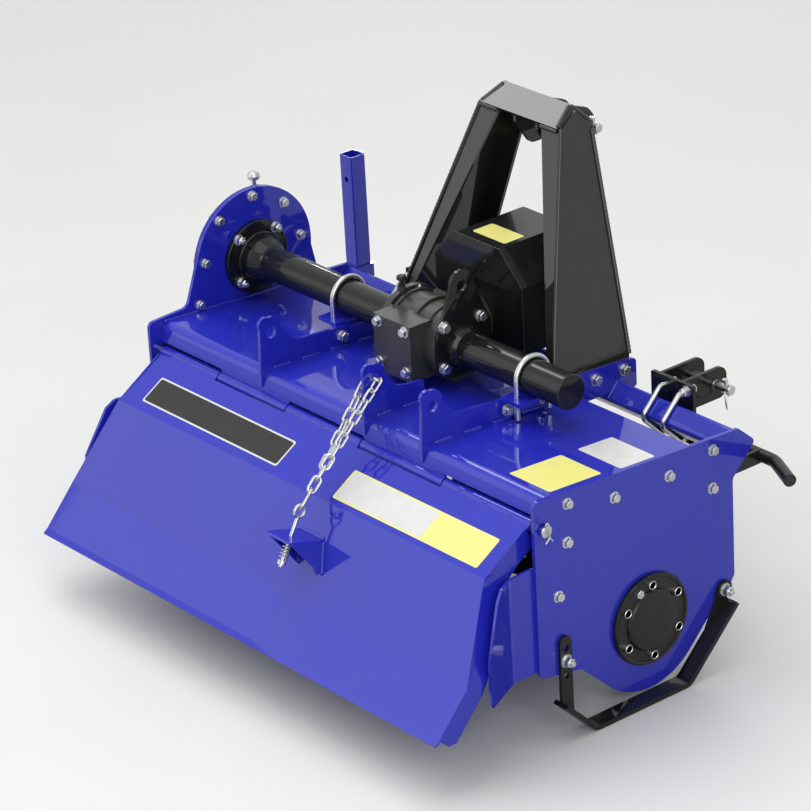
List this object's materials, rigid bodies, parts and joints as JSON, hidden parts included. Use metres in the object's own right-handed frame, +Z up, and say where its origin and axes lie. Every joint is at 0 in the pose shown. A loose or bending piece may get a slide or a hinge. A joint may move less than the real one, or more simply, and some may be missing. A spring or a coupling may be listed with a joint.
{
  "type": "rotary tiller",
  "caption": "Tractor-mounted rotary tiller with a tined rotor under a hood, a side chain case, a hitch frame and a hinged rear flap on a chain.",
  "frame": {"origin": "middle of the machine's footprint, on the ground under the soles of the skids", "axes": "+Y forward to the tractor, +X to the right seen from behind, +Z up"},
  "size_m": [1.426, 1.009, 1.0422],
  "materials": {
    "blue_paint": "gloss",
    "black_paint": "satin",
    "grey_paint": "satin",
    "zinc": "satin",
    "cast": "satin",
    "gasket": "matte",
    "black_plastic": "satin"
  },
  "bodies": {
    "frame": {"deck": "blue_paint", "side_plate_right": "blue_paint", "chain_case_plate": "blue_paint", "chain_case_gasket": "gasket", "chain_case_cover": "blue_paint", "case_breather": "black_plastic", "axle_tube_left": "grey_paint", "axle_tube_right": "grey_paint", "gearbox": "cast", "gearbox_cover": "cast", "gearbox_breather": "black_plastic", "lift_lug_plate": "grey_paint", "pto_shield": "black_paint", "mast_leg_right": "grey_paint", "mast_leg_left": "grey_paint", "mast_cap": "grey_paint", "top_link_lugs": "grey_paint", "top_link_pin": "zinc", "front_beam": "blue_paint", "foot_plates": "blue_paint", "deck_ribs": "blue_paint", "tube_seats": "blue_paint", "u_bolts": "zinc", "hitch_clevis_right": "grey_paint", "hitch_clevis_left": "grey_paint", "clevis_bolts": "zinc", "hitch_pin_right": "zinc", "hitch_pin_left": "zinc", "skid_right": "black_paint", "skid_left": "black_paint", "front_guard": "black_paint", "hub_bearing_right": "black_paint", "hub_bearing_left": "black_paint", "deflectors": "blue_paint", "deck_hinge_tubes": "blue_paint", "hinge_rod": "zinc", "chain": "zinc", "stand_sleeve": "blue_paint"},
    "rotor": {"rotor_tube": "black_paint", "rotor_flanges": "black_paint", "tines": "black_paint"},
    "input": {"input_shaft": "zinc"},
    "flap": {"flap_panel": "blue_paint", "flap_hinge_tubes": "blue_paint", "chain_bracket": "blue_paint", "eyebolt": "zinc", "eyebolt_spring": "zinc"},
    "stand": {"stand_leg": "blue_paint"}
  },
  "joints": [
    {"name": "rotor_spin", "type": "hinge", "parent": "frame", "child": "rotor", "pos_m": [-0.025, 0.0795, 0.17], "axis": [-1, 0, 0], "continuous": true},
    {"name": "input_spin", "type": "hinge", "parent": "frame", "child": "input", "pos_m": [-0.041, 0.2545, 0.595], "axis": [0, 1, 0], "continuous": true},
    {"name": "flap_lift", "type": "hinge", "parent": "frame", "child": "flap", "pos_m": [-0.025, -0.1865, 0.461], "axis": [-1, 0, 0], "range_deg": [0, 35], "deforming": ["chain"]},
    {"name": "stand_drop", "type": "slide", "parent": "frame", "child": "stand", "axis": [0, 0, -1], "range_m": [0, 0.095]}
  ],
  "couplings": [
    {"joint": "input_spin", "follows": "rotor_spin", "ratio": 2.5}
  ]
}
